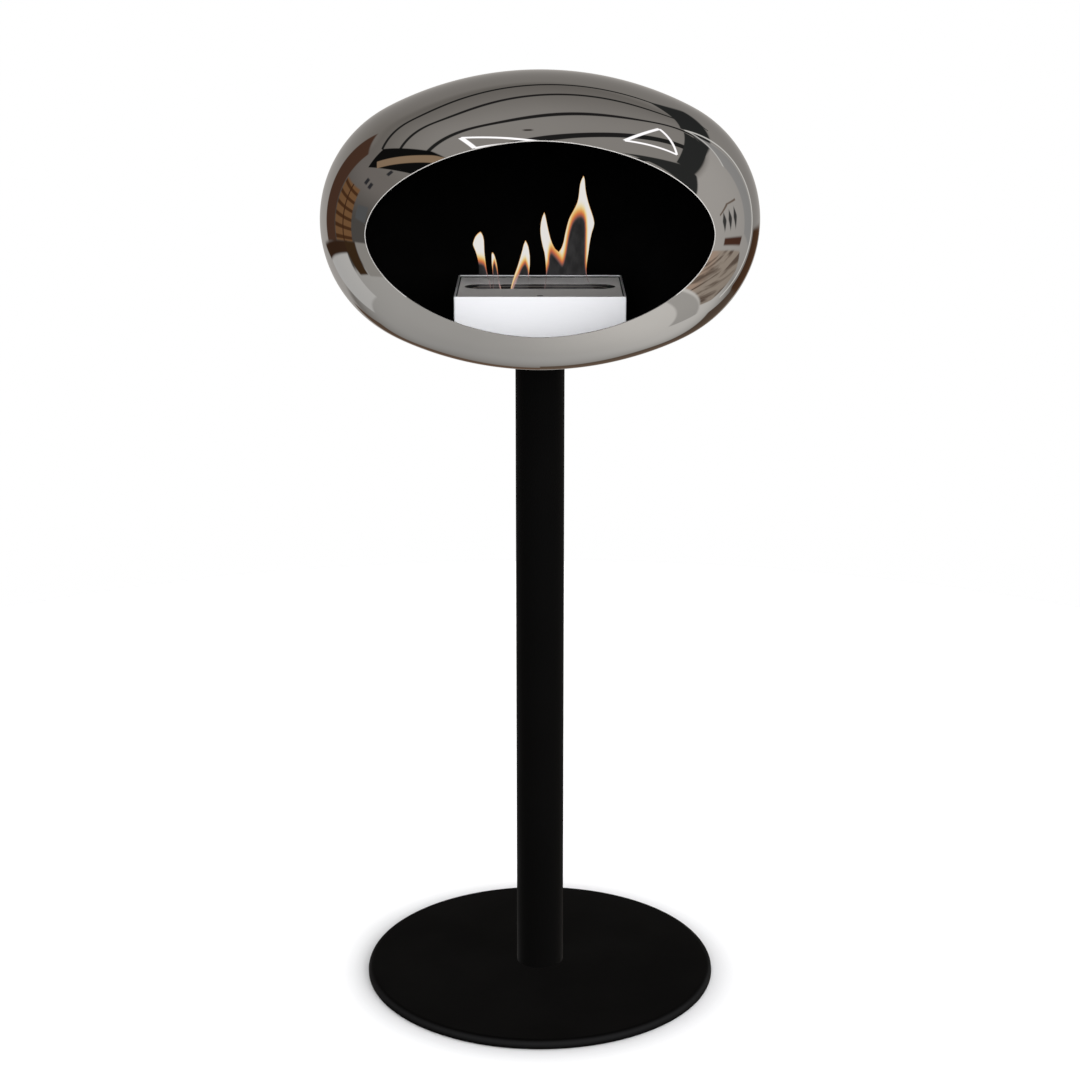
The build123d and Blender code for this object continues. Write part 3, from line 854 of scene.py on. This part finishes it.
# Left: a tall brown panel, slatted shelves on a post, a white counter with a brown top, a low
# cupboard and its brown side, a window, and three small dark ceiling fittings
slat_pitch = 4.2
slat = elevation / slat_pitch
slat = slat.math("FRACT", slat)
slats = blend(between(slat, 0.175, 0.825, 0.075), (0.16, 0.07, 0.03), (0.42, 0.22, 0.1))
room = on_wall([(-148, 26), (-145.5, -10.5), (-132, -10.5), (-132.5, 26)], (0.17, 0.085, 0.055))
room = on_wall([(-131.5, 14), (-131.2, -10), (-113, -10), (-113.7, 15.5)], slats)
room = on_wall([(-122.6, 15), (-122.3, -10), (-121.2, -10), (-121.5, 15)], (0.12, 0.05, 0.025), 0.3)
room = on_wall([(-154, -10.5), (-149, -14.5), (-120, -15), (-119, -10)], (0.09, 0.045, 0.025))
room = on_wall([(-149, -14.5), (-147, -32), (-123, -35), (-122, -15)], (1.2, 1.2, 1.19))
room = on_wall([(-122, -10), (-119, -25), (-111, -26), (-111, -10)], (0.1, 0.055, 0.025))
room = on_wall([(-111, -10), (-110, -27), (-98, -29), (-98, -10)], (0.62, 0.6, 0.57))
room = on_wall([(-110, 9), (-110, 2), (-101, 1), (-101, 10)], (0.2, 0.21, 0.22))
for x, y in ((-103, 32), (-113, 21), (-108, 20.5)):
    square = [(x - 1.5, y + 1.6), (x - 1.5, y - 1.6), (x + 1.5, y - 1.6), (x + 1.5, y + 1.6)]
    room = on_wall(square, (0.06, 0.06, 0.07), 0.5)

# Right: a bed with a crumpled cover and a cushion on a pale base, a cupboard, a chest, a pale
# screen with a bright frame, and a hanging twig with three leaves
twig_brown = (0.35, 0.27, 0.22)
fold_place = studio.node(
    "ShaderNodeCombineXYZ",
    None,
    {"X": (bearing - 1.3 * elevation) / 7, "Y": (bearing + elevation) / 28},
)
crumple = studio.node(
    "ShaderNodeTexNoise",
    None,
    {"Vector": fold_place, "Scale": 1.0, "Detail": 3.0, "Distortion": 0.7},
)
linen = blend(ease(bearing, 103, 111), (0.88, 0.66, 0.52), (0.76, 0.65, 0.55))
linen = blend(ease(crumple, 0.36, 0.56), (0.28, 0.21, 0.165), linen)
room = on_wall([(98, -36), (130, -37), (135.5, -32), (136.2, -20), (130, -14), (101, -14)], linen)
room = on_wall([(110, -11.5), (128, -12), (128.7, -8.7), (110, -8)], (0.16, 0.07, 0.045))
room = on_wall([(95, -46), (140, -46), (140, -37), (97, -38)], (0.87, 0.85, 0.82))
room = on_wall([(146, -22.5), (165, -22.5), (165.5, -7.5), (146, -7.5)], (0.15, 0.075, 0.04))
room = on_wall([(150, -30), (181, -27), (181, -16), (165, -16), (150, -22)], (0.2, 0.14, 0.1))
room = on_wall([(131, -8), (141, -12), (142, 32), (131.5, 20)], (0.7, 0.7, 0.7))
for x in (109.5, 115, 120.3):
    room = on_wall([(x - 1.8, 0.5), (x, -5), (x + 1.8, 0.5), (x, 5)], (0.1, 0.1, 0.1), 0.5)
room = on_wall([(106, 3.7), (115, 7.2), (114, 8.2), (106, 4.6)], twig_brown, 0.3)
room = on_wall([(114, 7.4), (124, 6.5), (124, 7.4), (114, 8.2)], twig_brown, 0.3)
room = on_wall([(141, -28), (142.6, -28), (146.4, 34), (145, 34)], (1.7, 1.7, 1.66), 0.4)
room = on_wall([(130.5, 20), (131, 19), (145.5, 32.5), (145.5, 34)], (1.4, 1.4, 1.38), 0.3)

# A small vent, and two lamps of thin bright tube, each bent into a triangle
tube_half_width = 0.018
tube_light = (3.1, 3.1, 3.25)
vent = [(-0.075, 0.3), (-0.035, 0.3), (-0.035, 0.345), (-0.075, 0.345)]
room = on_ceiling(vent, (0.09, 0.08, 0.07))
for corners in (
    ((0.61, 0.82), (1.02, 0.44), (0.47, 0.26)),
    ((-0.42, 0.29), (0.02, 0.05), (-0.39, 0.03)),
):
    for (ax, ay), (bx, by) in zip(corners, corners[1:] + corners[:1]):
        sx, sy = tube_half_width * np.array((by - ay, ax - bx)) / np.hypot(bx - ax, by - ay)
        tube = [(ax + sx, ay + sy), (bx + sx, by + sy), (bx - sx, by - sy), (ax - sx, ay - sy)]
        room = on_ceiling(tube, tube_light, 0.005)

# What the camera, polished metal and everything else see
camera_ray, glossy_ray, clear_ray = (
    studio.node("ShaderNodeLightPath", output=f"Is {kind} Ray")
    for kind in ("Camera", "Glossy", "Transmission")
)
panel = ease(bearing, -50, -10) * (1 - ease(bearing, 60, 85))
panel = panel * ease(elevation, 0, 8) * (1 - ease(elevation, 36, 48))
soft_light = blend(panel, (0.45, 0.45, 0.45), (4.5, 4.5, 4.6))
mirrored = glossy_ray + clear_ray
light = blend(mirrored.math("MINIMUM", mirrored, 1.0), soft_light, room)
light = blend(camera_ray, light, (1, 1, 1))
backdrop = studio.node("ShaderNodeBackground", None, {"Color": light, "Strength": 1.0})
studio.node("ShaderNodeOutputWorld", None, {"Surface": backdrop})

# CAMERA
# It stands straight in front, higher than the dome's top, is level across, and looks down by
# about sixteen degrees.
camera_lens = 72.366
camera_film = 36
camera_place = (0, -2.60221, 1.31713)
camera_tilt = radians(74.251)
eye = bpy.data.cameras.new("view")
eye.lens = camera_lens
eye.sensor_width = camera_film
viewpoint = bpy.data.objects.new("view", eye)
viewpoint.location = camera_place
viewpoint.rotation_euler = (camera_tilt, 0, 0)
bpy.context.scene.collection.objects.link(viewpoint)
bpy.context.scene.camera = viewpoint
bpy.context.scene.view_settings.view_transform = "Standard"
